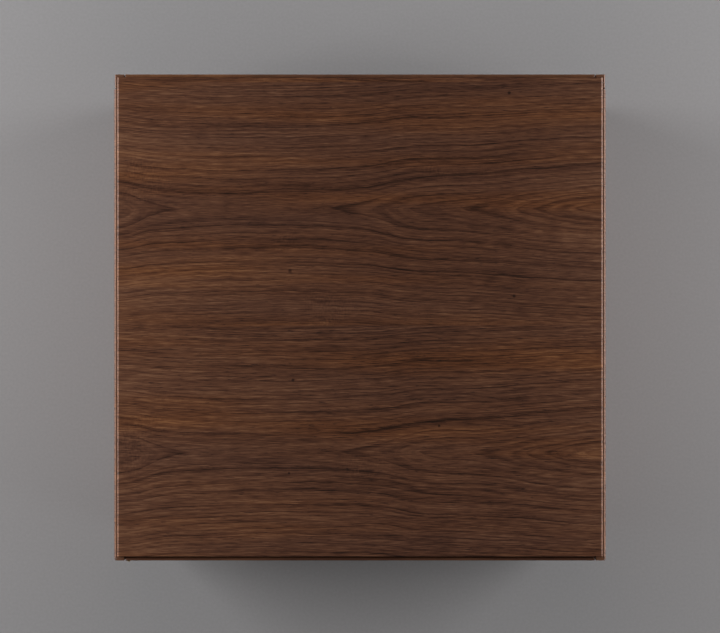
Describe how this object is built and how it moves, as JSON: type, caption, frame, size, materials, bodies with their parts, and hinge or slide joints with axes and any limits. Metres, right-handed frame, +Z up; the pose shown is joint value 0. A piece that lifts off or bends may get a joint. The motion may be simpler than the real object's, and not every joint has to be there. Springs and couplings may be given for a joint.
{
  "type": "cube storage unit",
  "caption": "Walnut-veneered storage cube with a thin-lipped inset top, a hinged push-to-open door, an adjustable shelf and felt glides.",
  "frame": {"origin": "on the floor, at the middle of the unit's box, hinge knuckles included", "axes": "+Z up, -Y out of the door, +X to the right of someone who faces the door"},
  "size_m": [0.4, 0.3998, 0.4],
  "materials": {
    "walnut_veneer": "flat-cut walnut veneer on board, satin lacquer, grain left to right on the top",
    "walnut_solid": "solid walnut strip, satin lacquer",
    "hinge_brass": "brushed, lacquered",
    "black_plastic": "fine-textured moulded nylon",
    "felt": "pressed wool felt",
    "nickel": "satin nickel plate",
    "zinc_steel": "bright zinc plate"
  },
  "bodies": {
    "carcass": {"back_panel": "walnut_veneer", "bottom_front_lipping": "walnut_solid", "bottom_panel": "walnut_veneer", "front_left_glide": "black_plastic", "front_left_glide_felt": "felt", "front_left_shelf_pin": "nickel", "front_right_glide": "black_plastic", "front_right_glide_felt": "felt", "front_right_shelf_pin": "nickel", "latch_housing": "black_plastic", "latch_screw_1": "zinc_steel", "latch_screw_2": "zinc_steel", "latch_spring": "zinc_steel", "left_front_lipping": "walnut_solid", "left_rear_lipping": "walnut_solid", "left_side_panel": "walnut_veneer", "lower_hinge_carcass_leaf": "hinge_brass", "lower_hinge_carcass_screw_1": "hinge_brass", "lower_hinge_carcass_screw_2": "hinge_brass", "lower_hinge_pin": "hinge_brass", "rear_left_glide": "black_plastic", "rear_left_glide_felt": "felt", "rear_left_shelf_pin": "nickel", "rear_right_glide": "black_plastic", "rear_right_glide_felt": "felt", "rear_right_shelf_pin": "nickel", "right_front_lipping": "walnut_solid", "right_rear_lipping": "walnut_solid", "right_side_panel": "walnut_veneer", "shelf_front_lipping": "walnut_solid", "shelf_panel": "walnut_veneer", "top_panel": "walnut_veneer", "upper_hinge_carcass_leaf": "hinge_brass", "upper_hinge_carcass_screw_1": "hinge_brass", "upper_hinge_carcass_screw_2": "hinge_brass", "upper_hinge_pin": "hinge_brass"},
    "door": {"door_bottom_lipping": "walnut_solid", "door_free_lipping": "walnut_solid", "door_hinge_lipping": "walnut_solid", "door_panel": "walnut_veneer", "door_top_lipping": "walnut_solid", "lower_hinge_door_leaf": "hinge_brass", "lower_hinge_door_screw_1": "hinge_brass", "lower_hinge_door_screw_2": "hinge_brass", "strike_plate": "zinc_steel", "strike_screw": "zinc_steel", "upper_hinge_door_leaf": "hinge_brass", "upper_hinge_door_screw_1": "hinge_brass", "upper_hinge_door_screw_2": "hinge_brass"},
    "latch_plunger": {"latch_plunger": "black_plastic", "latch_magnet": "nickel"}
  },
  "joints": [
    {"name": "door_hinge", "type": "hinge", "parent": "carcass", "child": "door", "pos_m": [-0.19155, -0.19795, 0.19825], "axis": [0, 0, -1], "range_deg": [0, 170]},
    {"name": "latch_press", "type": "slide", "parent": "carcass", "child": "latch_plunger", "axis": [0, 1, 0], "range_m": [0, 0.002], "stiffness_N_per_m": 500, "springref_m": -0.004}
  ]
}
